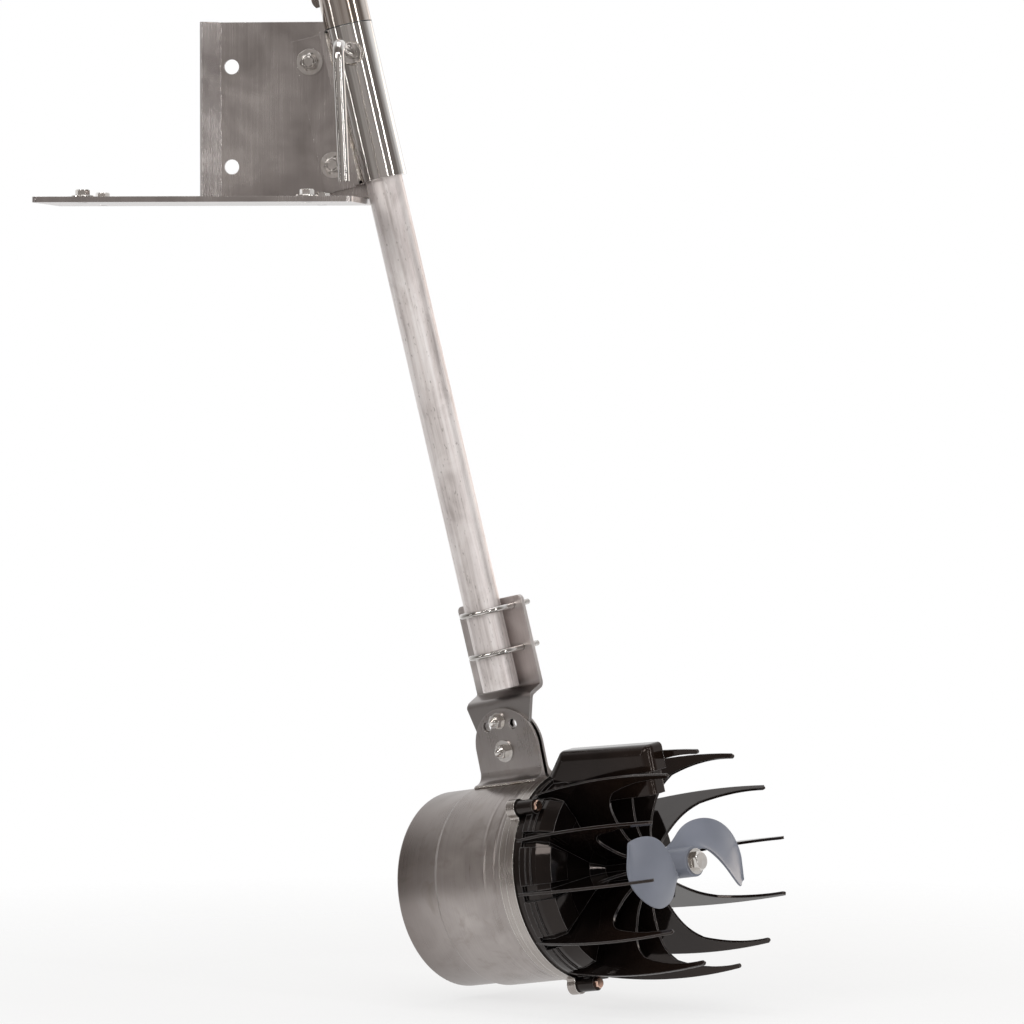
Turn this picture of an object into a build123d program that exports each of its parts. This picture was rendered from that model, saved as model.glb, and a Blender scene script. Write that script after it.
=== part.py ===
from build123d import *

import os
from math import cos, radians, sin, sqrt, tan

# Dock-mounted water circulator, in millimetres.
# Origin: centre of the four deck holes, on the underside of the base plate.
# X runs along the base plate, -Y is the side that the pole hangs on, Z is up.

# Base plate
base_length = 362.0
base_depth = 177.8
base_thick = 6.35
base_corner = 8.0
deck_hole = 11.1
deck_pitch_x = 254.0
deck_pitch_y = 127.0

# Upright plate
upright_height = 203.2
upright_thick = 4.76
upright_width = 174.0
lip_width = 25.4
lip_angle = 40.0
open_hole = 17.0
open_hole_pitch = 114.3
open_hole_low = 38.1
open_hole_inset = 12.2

# Pole holder
tilt = 13.05
tilt_range = 12.0
tilt_spare = 0.5
pole_clear = 1.3
pivot_height = 157.1
bolt_pitch = 120.65
holder_bolt = 12.7
holder_flats = 19.05
holder_head = 8.0
holder_nut = 9.0
holder_nut_collar = 2.4
holder_washer = 30.0
holder_washer_thick = 2.4
bolt_past = 1.0
angle_leg = 44.45
angle_thick = 6.35
angle_inset = 15.9
angle_round = 5.0
sleeve_wall = 5.84
sleeve_length = 177.8
sleeve_above = 27.2
sleeve_standoff = 32.0
boss_outer = 23.0
boss_reach = 40.0
boss_drop = 6.2

# Lock screw
lock_rod = 12.7
lock_reach = 145.0
lock_rise = 6.0
lock_bend = 18.0
lever_length = 148.0
lever_lean = 2.6

# Pole
pipe_outer = 42.16
pipe_wall = 3.56
pipe_length = 914.4
pipe_above = 169.0
thrust_thick = 1.2
collar_height = 76.2
collar_chamfer = 1.0
collar_bolt = 12.7
collar_flats = 19.05
collar_head = 8.0
collar_nut = 11.0
collar_bolt_past = 3.0

# Saddle bracket and its clamps
turn = 33.49
saddle_width = 96.0
saddle_thick = 4.76
saddle_above = 100.5
saddle_corner = 6.0
saddle_shift = 7.0
saddle_bend = 6.0
jog_high = 4.5
jog_low = 12.5
shoulder_drop = 14.0
shoulder_round = 8.0
tongue_radius = 30.0
u_rod = 6.35
u_slack = 2.245
u_tail = 23.0
u_flats = 11.1
u_nut = 5.6
u_washer = 16.0
u_washer_thick = 1.3
u_high = 90.0
u_low = 41.5

# Head clamp
pivot_shift = 11.1
head_drop = 69.6
head_droop = 2.28
head_bolt = 9.525
head_flats = 14.3
head_bolt_head = 6.2
head_nut = 8.3
pivot_washer = 25.4
lock_washer = 19.0
head_washer_thick = 1.6
bolt_spare = 3.6
lock_radius = 35.0
lock_step = 33.0
lock_hole = 12.0
head_swing = 30.0
swing_spare = 2.0
ear_thick = 3.05
ear_radius = 45.5
ear_foot = 20.0
ear_bend = 12.0
ear_shift = 4.0
ear_rise = 3.3
ear_margin = 0.7

# Motor can, measured from its closed back
can_radius = 112.0
can_step = 3.8
can_step_at = 59.0
can_wall = 1.6
can_corner = 7.0
can_length = 160.0
pivot_rise = 35.5
flange_over = 2.7
flange_depth = 12.0
flange_inset = 15.8
spigot_length = 8.0
spigot_wall = 4.0
rim_over = 3.6
rim_wall = 1.8
rim_height = 9.0
rim_floor = 3.0
tab_radius = 10.6
tab_blend = 4.0

# Guard: heights are measured from the flange's front face, and what is over or inset
# is measured from the rim's outside
fin_count = 12
fin_thick = 3.2
fin_tip = 208.2
fin_tip_over = 1.9
fin_tip_round = 2.6
fin_belly_at = 108.0
fin_belly_over = 8.9
fin_throat_at = 102.0
fin_throat = 66.0
knuckle_at = 119.0
knuckle_inset = 13.4
knuckle_step = 2.0
mouth_at = 146.0
mouth_inset = 3.8
guard_wall = 4.5
foot_height = 18.0
barrel_inset = 6.4
barrel_height = 36.0
wall_height = 50.0
wall_inset = 13.0
pad_step_ends = (26.0, 32.0, 39.0)
pad_step_insets = (0.0, 1.4, 3.4)
pad_front = 56.5
pad_front_inset = 8.9
pad_inner = 82.0
pad_arc = 21.0
pad_seat = 1.0
hub_boss = 21.0
hub_boss_front = 124.0
hub_foot = 35.0
hub_foot_rise = 12.0
screw_over = 5.6
screw_boss = 17.0
screw_seat = 33.0
screw_turn = 42.0
screw_count = 3
guard_screw = 6.35
guard_screw_flats = 11.1
guard_screw_head = 4.4

# Cord-entry housing and the duct under its nose
housing_near = 28.0
housing_far = 1.0
housing_lift = 0.5
housing_rear = 31.0
housing_top_over = 24.6
housing_front = 160.0
housing_nose_over = 18.6
housing_under_inset = 11.4
housing_round = 11.0
duct_near = 22.0
duct_front = 152.0
duct_inset = 37.9
duct_round = 7.0
entry_over = 8.6
entry_across = 14.0
entry_bore = 18.0
entry_depth = 36.0
bushing_bore = 9.0
bushing_length = 14.0

# Propeller: each row is radius, skew, chord, pitch angle and height of a blade section
# above the hub's back
blade_sections = (
    (14.0, -60.0, 33.0, 48.0, 18.0),
    (34.0, -28.0, 54.0, 33.0, 31.5),
    (50.0, -8.0, 75.5, 21.0, 36.0),
    (66.0, 1.0, 79.0, 14.5, 37.0),
    (82.0, 6.5, 70.0, 9.5, 34.5),
    (94.0, 10.0, 53.0, 5.5, 31.0),
    (101.0, 15.0, 28.0, 6.0, 31.0),
)
blade_thick = 2.8
blade_count = 2
hub_radius = 17.0
hub_gap = 5.0
hub_length = 44.0
prop_washer = 29.0
prop_washer_thick = 2.5
prop_bolt = 9.5
prop_flats = 19.05
prop_head = 8.0
prop_bolt_length = 30.0

# Rotor and the inside of the can
shaft_radius = 9.5
shaft_nose = 8.0
shaft_back = 20.0
shaft_clear = 2.0
rotor_radius = 38.0
stack_at = 52.0
stack_clear = 12.0
stator_radius = 70.0
stator_gap = 0.8
rear_plate_inset = 2.4
rear_plate_thick = 3.0
rear_dish = 4.0
bearing_radius = 20.0
bearing_width = 14.0
bearing_wall = 6.0
bearing_lip = 3.0
front_plate_inset = 12.0
front_plate_thick = 7.0
clasp_depth = 12.0
clasp_wall = 4.0
seal_radius = 16.0
seal_length = 12.0
seal_lip = 2.0
capacitor_radius = 17.0
capacitor_length = 70.0
capacitor_inset = 23.0
gasket_inset = 7.8
gasket_width = 4.0
gasket_thick = 1.8

# Clearances
slip = 0.08
gap = 0.3


def placed(frame, at, normal=(0, 0, 1), across=(1, 0, 0)):
    """A plane at a frame's local place that faces a local direction."""
    origin = frame.from_local_coords(Vector(*at))
    face = frame.from_local_coords(Vector(*normal)) - frame.origin
    along = frame.from_local_coords(Vector(*across)) - frame.origin
    return Plane(origin=origin, x_dir=along, z_dir=face)


def hex_blank(seat, flats, height):
    """A hexagon that stands on the seat, with the corners of its far end turned off."""
    corner = flats / 2 / cos(radians(30))
    with BuildPart() as blank:
        with BuildSketch(seat):
            Circle(corner)
        extrude(amount=height)
        far_end = blank.faces().sort_by(Axis(seat.origin, seat.z_dir))[-1]
        chamfer(far_end.edges(), (corner - flats / 2) * 1.2)
        with BuildSketch(seat):
            RegularPolygon(radius=flats / 2, side_count=6, major_radius=False)
        extrude(amount=height, mode=Mode.INTERSECT)
    return blank.part


def hex_bolt(seat, size, length, flats, head):
    """A bolt whose head stands behind the seat and whose shank goes forward."""
    with BuildPart() as bolt:
        add(hex_blank(Plane(origin=seat.origin, x_dir=seat.x_dir, z_dir=-seat.z_dir), flats, head))
        with BuildSketch(seat):
            Circle(size / 2)
        extrude(amount=length)
        tip = bolt.faces().sort_by(Axis(seat.origin, seat.z_dir))[-1]
        chamfer(tip.edges(), size * 0.08)
    return bolt.part


def hex_nut(seat, size, flats, height, collar=0.0):
    """A nut that stands on the seat; a locking nut has a round collar at its far end."""
    with BuildPart() as nut:
        add(hex_blank(seat, flats, height - collar))
        if collar:
            with BuildSketch(seat):
                Circle(flats * 0.44)
            extrude(amount=height)
            far_end = nut.faces().sort_by(Axis(seat.origin, seat.z_dir))[-1]
            fillet(far_end.edges(), collar * 0.5)
        with BuildSketch(seat):
            Circle(size / 2 + slip)
        extrude(amount=height, mode=Mode.SUBTRACT)
    return nut.part


def ring(seat, outer, bore, thick):
    """A washer that lies on the seat."""
    with BuildPart() as washer:
        with BuildSketch(seat):
            Circle(outer / 2)
            Circle(bore / 2, mode=Mode.SUBTRACT)
        extrude(amount=thick)
    return washer.part


def turned(profile, axis, *loops):
    """A turned piece from closed loops of radius and height; the later loops are cut away."""
    with BuildPart() as piece:
        with BuildSketch(profile):
            for index, loop in enumerate(loops):
                with BuildLine():
                    Polyline(*loop, close=True)
                make_face(mode=Mode.SUBTRACT if index else Mode.ADD)
        revolve(axis=axis)
    return piece.part


def save(part, name):
    """Labels a piece and writes its file."""
    part.label = name
    export_step(part, "parts/" + name + ".step")


os.makedirs("parts", exist_ok=True)

# The bracket's own places
upright_face = base_depth / 2 - upright_thick
upright_right = base_length / 2
bend_x = upright_right - upright_width
pivot_z = base_thick + pivot_height

# Frame of the pole holder: on the pole's axis, level with the pivot along the pole, Z up the
# pole; the pipe hangs clear of the base plate's end
sleeve_outer = pipe_outer + 2 * (slip + sleeve_wall)
sleeve_offset = angle_leg - angle_inset + sleeve_outer / 2
holder_z = pivot_z + sleeve_offset * sin(radians(tilt))
pipe_half = pipe_outer / 2 / cos(radians(tilt))
holder_x = upright_right + pole_clear + pipe_half - (holder_z - base_thick) * tan(radians(tilt))
pivot_x = holder_x - sleeve_offset * cos(radians(tilt))
holder = Plane(
    origin=(holder_x, upright_face - sleeve_standoff, holder_z),
    x_dir=(cos(radians(tilt)), 0, sin(radians(tilt))),
    z_dir=(-sin(radians(tilt)), 0, cos(radians(tilt))),
)

# Frame of the turned pole: at the pipe's lower end, X towards the jet, Z up the pole
pipe_foot = pipe_above - pipe_length
pole = placed(
    holder,
    (0, 0, pipe_foot),
    across=(cos(radians(turn)), -sin(radians(turn)), 0),
)

# Frame of the head: at its pivot, X along the motor towards the jet, Y away from the nuts
head = placed(
    pole,
    (-pivot_shift, 0, -head_drop),
    normal=(sin(radians(head_droop)), 0, cos(radians(head_droop))),
    across=(cos(radians(head_droop)), 0, -sin(radians(head_droop))),
)

# Frame of the motor: at the can's back, X up, Z along its axis; profiles are (radius, height)
wide = can_radius + can_step
ear_centre = can_length - ear_margin - ear_radius
pivot_at = ear_centre - ear_shift
pivot_up = wide + pivot_rise
motor = placed(head, (-pivot_at, 0, -pivot_up), normal=(1, 0, 0), across=(0, 0, 1))
motor_axis = Axis(motor.origin, motor.z_dir)
profile = placed(motor, (0, 0, 0), normal=(0, -1, 0))

# Places along the motor: the front plate in the can's mouth, its bearing's pocket and the stack
front_plate_at = can_length - front_plate_inset
plate_front = front_plate_at + front_plate_thick
front_pocket = plate_front - bearing_width
stack_length = front_pocket - bearing_lip - stack_clear - stack_at

# Frame of the guard: on the flange's front face
flange_front = can_length + flange_depth
front = placed(motor, (0, 0, flange_front))
front_profile = placed(front, (0, 0, 0), normal=(0, -1, 0))

# Base plate
with BuildPart() as base_plate:
    with BuildSketch():
        RectangleRounded(base_length, base_depth, base_corner)
        with GridLocations(deck_pitch_x, deck_pitch_y, 2, 2):
            Circle(deck_hole / 2, mode=Mode.SUBTRACT)
    extrude(amount=base_thick)
save(base_plate.part, "base_plate")

# Upright plate: one side bent forward as a lip, a pivot hole and an arc slot for the tilt
lip_x = lip_width * cos(radians(lip_angle))
lip_y = lip_width * sin(radians(lip_angle))
slot_start = tilt - 90 - tilt_spare
slot_sweep = tilt_range + 2 * tilt_spare
tilt_arc = CenterArc((pivot_x, pivot_z), bolt_pitch, slot_start, slot_sweep)
with BuildPart() as upright_plate:
    with BuildSketch(Plane.XY.offset(base_thick)):
        with BuildLine():
            Polyline(
                (upright_right, upright_face),
                (bend_x, upright_face),
                (bend_x - lip_x, upright_face - lip_y),
            )
            offset(amount=upright_thick, side=Side.RIGHT)
        make_face()
    extrude(amount=upright_height)
    with BuildSketch(Plane.XZ.offset(-upright_face - 2 * upright_thick)):
        with Locations((pivot_x, pivot_z)):
            Circle(holder_bolt / 2 + slip)
        SlotArc(tilt_arc, holder_bolt + 2 * gap)
        with Locations((bend_x + open_hole_inset, base_thick + open_hole_low)):
            Circle(open_hole / 2)
        with Locations((bend_x + open_hole_inset, base_thick + open_hole_low + open_hole_pitch)):
            Circle(open_hole / 2)
    extrude(amount=4 * upright_thick, mode=Mode.SUBTRACT)
save(upright_plate.part, "upright_plate")

# Angle bar: one leg lies on the upright, the other stands forward and carries the sleeve
leg_back = sleeve_standoff - gap
leg_front = leg_back - angle_thick
leg_right = -sleeve_outer / 2
bolt_x = -sleeve_offset
with BuildPart() as angle_bar:
    with BuildSketch(placed(holder, (0, 0, sleeve_above - sleeve_length))):
        with BuildLine():
            Polyline(
                (leg_right - angle_leg, leg_back),
                (leg_right, leg_back),
                (leg_right, leg_back - angle_leg),
                (leg_right - angle_thick, leg_back - angle_leg),
                (leg_right - angle_thick, leg_front),
                (leg_right - angle_leg, leg_front),
                close=True,
            )
        make_face()
    extrude(amount=sleeve_length)
    with BuildSketch(placed(holder, (0, leg_front, 0), normal=(0, 1, 0), across=(0, 0, 1))):
        with Locations((0, bolt_x), (-bolt_pitch, bolt_x)):
            Circle(holder_bolt / 2 + slip)
    extrude(amount=angle_thick, mode=Mode.SUBTRACT)
    inner = angle_bar.edges().filter_by(Axis(holder.origin, holder.z_dir))
    bend = holder.from_local_coords(Vector(leg_right - angle_thick, leg_front, 0))
    inner = inner.sort_by_distance(bend)
    fillet(inner[0], angle_round)
save(angle_bar.part, "angle_bar")

# Sleeve tube with the hole of the lock screw
with BuildPart() as sleeve:
    with BuildSketch(placed(holder, (0, 0, sleeve_above - sleeve_length))):
        Circle(sleeve_outer / 2)
        Circle(pipe_outer / 2 + slip, mode=Mode.SUBTRACT)
    extrude(amount=sleeve_length)
    with BuildSketch(placed(holder, (0, 0, -boss_drop), normal=(0, -1, 0))):
        Circle(lock_rod / 2 + slip)
    extrude(amount=sleeve_outer, mode=Mode.SUBTRACT)
save(sleeve.part, "sleeve")

# Boss of the lock screw, scribed to the sleeve
with BuildPart() as lock_boss:
    with BuildSketch(placed(holder, (0, 0, -boss_drop), normal=(0, -1, 0))):
        Circle(boss_outer / 2)
        Circle(lock_rod / 2 + slip, mode=Mode.SUBTRACT)
    extrude(amount=boss_reach)
    with BuildSketch(placed(holder, (0, 0, -boss_drop - boss_outer))):
        Circle(sleeve_outer / 2)
    extrude(amount=2 * boss_outer, mode=Mode.SUBTRACT)
save(lock_boss.part, "lock_boss")

# Lock screw: one rod, threaded through the boss and bent down into a lever
lever_turn = radians(tilt - lever_lean)
lever_down = (-sin(lever_turn), 0, -cos(lever_turn))
tip_at = pipe_outer / 2 + gap
with BuildPart() as lock_screw:
    with BuildLine(placed(
        holder,
        (0, 0, -boss_drop),
        normal=(cos(lever_turn), 0, -sin(lever_turn)),
        across=(0, -1, 0),
    )) as rod_path:
        FilletPolyline(
            (tip_at, 0),
            (boss_reach + lock_rod, 0),
            (lock_reach, -lock_rise),
            (lock_reach, lever_length),
            radius=lock_bend,
        )
    with BuildSketch(placed(holder, (0, -tip_at, -boss_drop), normal=(0, -1, 0))):
        Circle(lock_rod / 2)
    sweep()
save(lock_screw.part, "lock_screw")

# Bolts, washers and nuts of the pole holder
back_seat = sleeve_standoff + upright_thick + gap + holder_washer_thick
grip = back_seat - leg_front + holder_washer_thick
for name, height in (("pivot", 0.0), ("slot", -bolt_pitch)):
    back = placed(holder, (bolt_x, back_seat, height), normal=(0, -1, 0))
    plate_back = placed(holder, (bolt_x, back_seat - holder_washer_thick, height), normal=(0, 1, 0))
    leg_seat = placed(holder, (bolt_x, leg_front, height), normal=(0, -1, 0))
    nut = placed(holder, (bolt_x, leg_front - holder_washer_thick, height), normal=(0, -1, 0))
    shank = grip + holder_nut + bolt_past
    bore = holder_bolt + 2 * slip
    save(hex_bolt(back, holder_bolt, shank, holder_flats, holder_head), name + "_bolt")
    save(ring(plate_back, holder_washer, bore, holder_washer_thick), name + "_back_washer")
    save(ring(leg_seat, holder_washer, bore, holder_washer_thick), name + "_front_washer")
    save(hex_nut(nut, holder_bolt, holder_flats, holder_nut, holder_nut_collar), name + "_nut")

# Thrust washer between the sleeve and the collar
thrust_seat = placed(holder, (0, 0, sleeve_above + slip))
thrust_washer = ring(thrust_seat, sleeve_outer, pipe_outer + 2 * slip, thrust_thick - 2 * slip)
save(thrust_washer, "thrust_washer")

# Pipe of the pole, drilled for the collar's bolt
collar_low = sleeve_above + thrust_thick - pipe_foot
collar_mid = collar_low + collar_height / 2
collar_drill = placed(pole, (-sleeve_outer, 0, collar_mid), normal=(1, 0, 0), across=(0, 1, 0))
with BuildPart() as pipe:
    with BuildSketch(pole):
        Circle(pipe_outer / 2)
        Circle(pipe_outer / 2 - pipe_wall, mode=Mode.SUBTRACT)
    extrude(amount=pipe_length)
    with BuildSketch(collar_drill):
        Circle(collar_bolt / 2 + slip)
    extrude(amount=2 * sleeve_outer, mode=Mode.SUBTRACT)
save(pipe.part, "pipe")

# Collar that carries the pole on the sleeve
with BuildPart() as collar:
    with BuildSketch(placed(pole, (0, 0, collar_low))):
        Circle(sleeve_outer / 2)
        Circle(pipe_outer / 2 + slip, mode=Mode.SUBTRACT)
    extrude(amount=collar_height)
    collar_top = collar.faces().sort_by(Axis(pole.origin, pole.z_dir))[-1]
    chamfer(collar_top.edges(), collar_chamfer)
    with BuildSketch(collar_drill):
        Circle(collar_bolt / 2 + slip)
    extrude(amount=2 * sleeve_outer, mode=Mode.SUBTRACT)
save(collar.part, "collar")

# Through-bolt of the collar
collar_side = sleeve_outer / 2
collar_seat = placed(pole, (collar_side, 0, collar_mid), normal=(-1, 0, 0), across=(0, 1, 0))
collar_nut_seat = placed(pole, (-collar_side, 0, collar_mid), normal=(-1, 0, 0), across=(0, 1, 0))
collar_shank = sleeve_outer + collar_nut + collar_bolt_past
save(hex_bolt(collar_seat, collar_bolt, collar_shank, collar_flats, collar_head), "collar_bolt")
save(hex_nut(collar_nut_seat, collar_bolt, collar_flats, collar_nut), "collar_nut")

# Saddle bracket: a plate behind the pipe, joggled forward into the tongue under it
saddle_y = pipe_outer / 2 + saddle_thick / 2
u_radius = pipe_outer / 2 + u_rod / 2 + u_slack
tongue_foot = head_drop + tongue_radius
reach = saddle_width / 2 - shoulder_round
swing = head_swing + swing_spare
hull_edges = [
    Edge.make_circle(tongue_radius, Plane((-pivot_shift, -head_drop))),
    Edge.make_circle(shoulder_round, Plane((-saddle_shift - reach, -shoulder_drop))),
    Edge.make_circle(shoulder_round, Plane((-saddle_shift + reach, -shoulder_drop))),
]
swing_from = 90 - head_droop - swing
swing_arc = CenterArc((-pivot_shift, -head_drop), lock_radius, swing_from, 2 * swing)
with BuildPart() as saddle:
    with BuildSketch(placed(
        pole,
        (-saddle_shift - saddle_width / 2, 0, 0),
        normal=(1, 0, 0),
        across=(0, 1, 0),
    )):
        with BuildLine():
            FilletPolyline(
                (saddle_y, saddle_above),
                (saddle_y, -jog_high),
                (0, -jog_low),
                (0, -tongue_foot),
                radius=saddle_bend,
            )
            offset(amount=saddle_thick / 2, kind=Kind.INTERSECTION)
        make_face()
    extrude(amount=saddle_width)
    with BuildSketch(placed(pole, (0, -saddle_width, 0), normal=(0, -1, 0))):
        with Locations((-saddle_shift, (saddle_above - shoulder_drop) / 2)):
            RectangleRounded(saddle_width, saddle_above + shoulder_drop, saddle_corner)
        make_hull(hull_edges)
        with Locations((-pivot_shift, -head_drop)):
            Circle(head_bolt / 2 + slip, mode=Mode.SUBTRACT)
        SlotArc(swing_arc, head_bolt + 2 * gap, mode=Mode.SUBTRACT)
        for height in (u_low, u_high):
            with Locations((-u_radius, height), (u_radius, height)):
                Circle(u_rod / 2 + gap, mode=Mode.SUBTRACT)
    extrude(amount=-2 * saddle_width, mode=Mode.INTERSECT)
save(saddle.part, "saddle")

# U-bolts round the pipe, with the washers and nuts behind the saddle plate
u_crown = u_radius - pipe_outer / 2 - u_rod / 2 - slip
u_seat = pipe_outer / 2 + saddle_thick
for name, height in (("lower", u_low), ("upper", u_high)):
    with BuildPart() as u_bolt:
        with BuildLine(placed(pole, (0, 0, height))):
            FilletPolyline(
                (-u_radius, u_seat + u_tail),
                (-u_radius, u_crown - u_radius),
                (u_radius, u_crown - u_radius),
                (u_radius, u_seat + u_tail),
                radius=u_radius - 0.01,
            )
        with BuildSketch(placed(pole, (-u_radius, u_seat + u_tail, height), normal=(0, -1, 0))):
            Circle(u_rod / 2)
        sweep()
    save(u_bolt.part, name + "_u_bolt")
    for side, across in (("back", -u_radius), ("front", u_radius)):
        washer_seat = placed(pole, (across, u_seat, height), normal=(0, 1, 0))
        nut_seat = placed(pole, (across, u_seat + u_washer_thick, height), normal=(0, 1, 0))
        end = name + "_u_" + side
        save(ring(washer_seat, u_washer, u_rod + 2 * slip, u_washer_thick), end + "_washer")
        save(hex_nut(nut_seat, u_rod, u_flats, u_nut), end + "_nut")

# Ears of the head: two plates that hold the tongue between them, footed on the can
ear_in = saddle_thick / 2 + gap
ear_out = ear_in + ear_thick
ear_top = ear_rise + ear_radius
seat_radius = wide + slip
foot_radius = seat_radius + ear_thick


def height_at(radius, across):
    """Height of a circle about the motor's axis, seen from the head's pivot."""
    return sqrt(radius**2 - across**2) - pivot_up


for name, side in (("near_ear", -1), ("far_ear", 1)):
    with BuildPart() as ear:
        with BuildSketch(placed(
            head,
            (ear_shift - ear_radius, 0, 0),
            normal=(1, 0, 0),
            across=(0, 1, 0),
        )) as ear_profile:
            with BuildLine():
                Line((side * ear_in, ear_top), (side * ear_out, ear_top))
                Line((side * ear_out, ear_top), (side * ear_out, height_at(foot_radius, ear_out)))
                RadiusArc(
                    (side * ear_out, height_at(foot_radius, ear_out)),
                    (side * ear_foot, height_at(foot_radius, ear_foot)),
                    side * foot_radius,
                )
                Line(
                    (side * ear_foot, height_at(foot_radius, ear_foot)),
                    (side * ear_foot, height_at(seat_radius, ear_foot)),
                )
                RadiusArc(
                    (side * ear_foot, height_at(seat_radius, ear_foot)),
                    (side * ear_in, height_at(seat_radius, ear_in)),
                    -side * seat_radius,
                )
                Line((side * ear_in, height_at(seat_radius, ear_in)), (side * ear_in, ear_top))
            make_face()
            corner = ear_profile.vertices().sort_by_distance(
                (side * ear_out, height_at(foot_radius, ear_out))
            )
            fillet(corner[0], ear_bend)
        extrude(amount=2 * ear_radius)
        with BuildSketch(placed(head, (0, -pivot_up, 0), normal=(0, -1, 0))):
            with Locations((ear_shift, ear_rise)):
                Circle(ear_radius)
            with Locations((ear_shift, ear_rise - ear_radius)):
                Rectangle(2 * ear_radius, 2 * ear_radius)
            with Locations((0, 0), (0, lock_radius)):
                Circle(head_bolt / 2 + slip, mode=Mode.SUBTRACT)
            for angle in (90 - lock_step, 90 + lock_step):
                with PolarLocations(lock_radius, 1, start_angle=angle):
                    Circle(lock_hole / 2, mode=Mode.SUBTRACT)
        extrude(amount=-2 * pivot_up, mode=Mode.INTERSECT)
    save(ear.part, name)

# Pivot bolt and lock bolt of the head
head_far = ear_out + head_washer_thick
head_shank = 2 * head_far + head_nut + bolt_spare
head_bore = head_bolt + 2 * slip
head_bolts = (("head_pivot", 0.0, pivot_washer), ("head_lock", lock_radius, lock_washer))
for name, height, washer in head_bolts:
    seat = placed(head, (0, head_far, height), normal=(0, -1, 0))
    far_seat = placed(head, (0, ear_out, height), normal=(0, 1, 0))
    near_seat = placed(head, (0, -ear_out, height), normal=(0, -1, 0))
    nut_seat = placed(head, (0, -head_far, height), normal=(0, -1, 0))
    save(hex_bolt(seat, head_bolt, head_shank, head_flats, head_bolt_head), name + "_bolt")
    save(ring(far_seat, washer, head_bore, head_washer_thick), name + "_far_washer")
    save(ring(near_seat, washer, head_bore, head_washer_thick), name + "_near_washer")
    save(hex_nut(nut_seat, head_bolt, head_flats, head_nut), name + "_nut")

# Motor can: a drawn cup with a swaged step
with BuildPart() as motor_can:
    with BuildSketch(profile):
        with BuildLine():
            FilletPolyline(
                (0, 0),
                (can_radius, 0),
                (can_radius, can_step_at),
                (wide, can_step_at + can_step),
                (wide, can_length),
                radius=can_corner / 2,
            )
            offset(amount=can_wall, side=Side.LEFT)
        make_face()
    revolve(axis=motor_axis)
save(motor_can.part, "motor_can")

# Flange ring: a spigot in the can, a flat face and a thin rim that wraps the screw bosses
spigot_radius = wide - can_wall - slip
spigot_bore = spigot_radius - spigot_wall
flange_radius = wide + flange_over
flange_bore = wide - flange_inset
gasket_radius = wide - gasket_inset
rim_radius = wide + rim_over
screw_circle = rim_radius + screw_over


def rim_outline(ring_radius, boss_radius):
    """A circle with a rounded ear at each guard screw."""
    with BuildSketch() as outline:
        Circle(ring_radius)
        with PolarLocations(screw_circle, screw_count, start_angle=screw_turn):
            Circle(boss_radius)
        fillet(outline.vertices(), tab_blend)
    return outline.sketch


flange_blank = turned(
    profile,
    motor_axis,
    (
        (flange_bore, can_length),
        (spigot_bore, can_length),
        (spigot_bore, can_length - spigot_length),
        (spigot_radius, can_length - spigot_length),
        (spigot_radius, can_length),
        (flange_radius, can_length),
        (flange_radius, flange_front),
        (flange_bore, flange_front),
    ),
)
rim_outside = rim_outline(rim_radius, tab_radius)
rim_inside = rim_outline(rim_radius - rim_wall, tab_radius - rim_wall)
with BuildPart() as flange:
    add(flange_blank)
    with BuildSketch(placed(front, (0, 0, -rim_floor))):
        add(rim_outside)
        Circle(flange_bore, mode=Mode.SUBTRACT)
    extrude(amount=rim_floor + rim_height)
    with BuildSketch(front):
        add(rim_inside)
    extrude(amount=rim_height, mode=Mode.SUBTRACT)
    with BuildSketch(front):
        Circle(gasket_radius + gasket_width / 2)
        Circle(gasket_radius - gasket_width / 2, mode=Mode.SUBTRACT)
    extrude(amount=-gasket_thick, mode=Mode.SUBTRACT)
    with BuildSketch(placed(front, (0, 0, -rim_floor))):
        with PolarLocations(screw_circle, screw_count, start_angle=screw_turn):
            Circle(guard_screw / 2 + slip)
    extrude(amount=rim_floor, mode=Mode.SUBTRACT)
save(flange.part, "flange")

# Gasket in the flange's face
gasket_seat = placed(front, (0, 0, -gasket_thick))
gasket_out = 2 * gasket_radius + gasket_width
save(ring(gasket_seat, gasket_out, gasket_out - 2 * gasket_width, gasket_thick), "gasket")

# Guard: a barrel with a flat front wall and the long boss round the shaft and its seal
barrel_foot = rim_radius - rim_wall - gap
barrel_radius = rim_radius - barrel_inset
wall_radius = rim_radius - wall_inset
wall_back = wall_height - guard_wall
seal_front = hub_boss_front - seal_lip
seal_back = seal_front - seal_length
guard_shell = turned(
    front_profile,
    motor_axis,
    (
        (gasket_radius - gasket_width, 0),
        (barrel_foot, 0),
        (barrel_foot, foot_height),
        (barrel_radius, foot_height),
        (barrel_radius, barrel_height),
        (wall_radius, wall_height),
        (hub_foot, wall_height),
        (hub_boss, wall_height + hub_foot_rise),
        (hub_boss, hub_boss_front),
        (shaft_radius + gap, hub_boss_front),
        (shaft_radius + gap, seal_front),
        (seal_radius, seal_front),
        (seal_radius, seal_back),
        (shaft_radius + shaft_clear, seal_back),
        (shaft_radius + shaft_clear, wall_back),
        (wall_radius - guard_wall, wall_back),
        (barrel_radius - guard_wall, barrel_height - guard_wall / 2),
        (barrel_radius - guard_wall, guard_wall),
        (gasket_radius - gasket_width, guard_wall),
    ),
)

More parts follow.
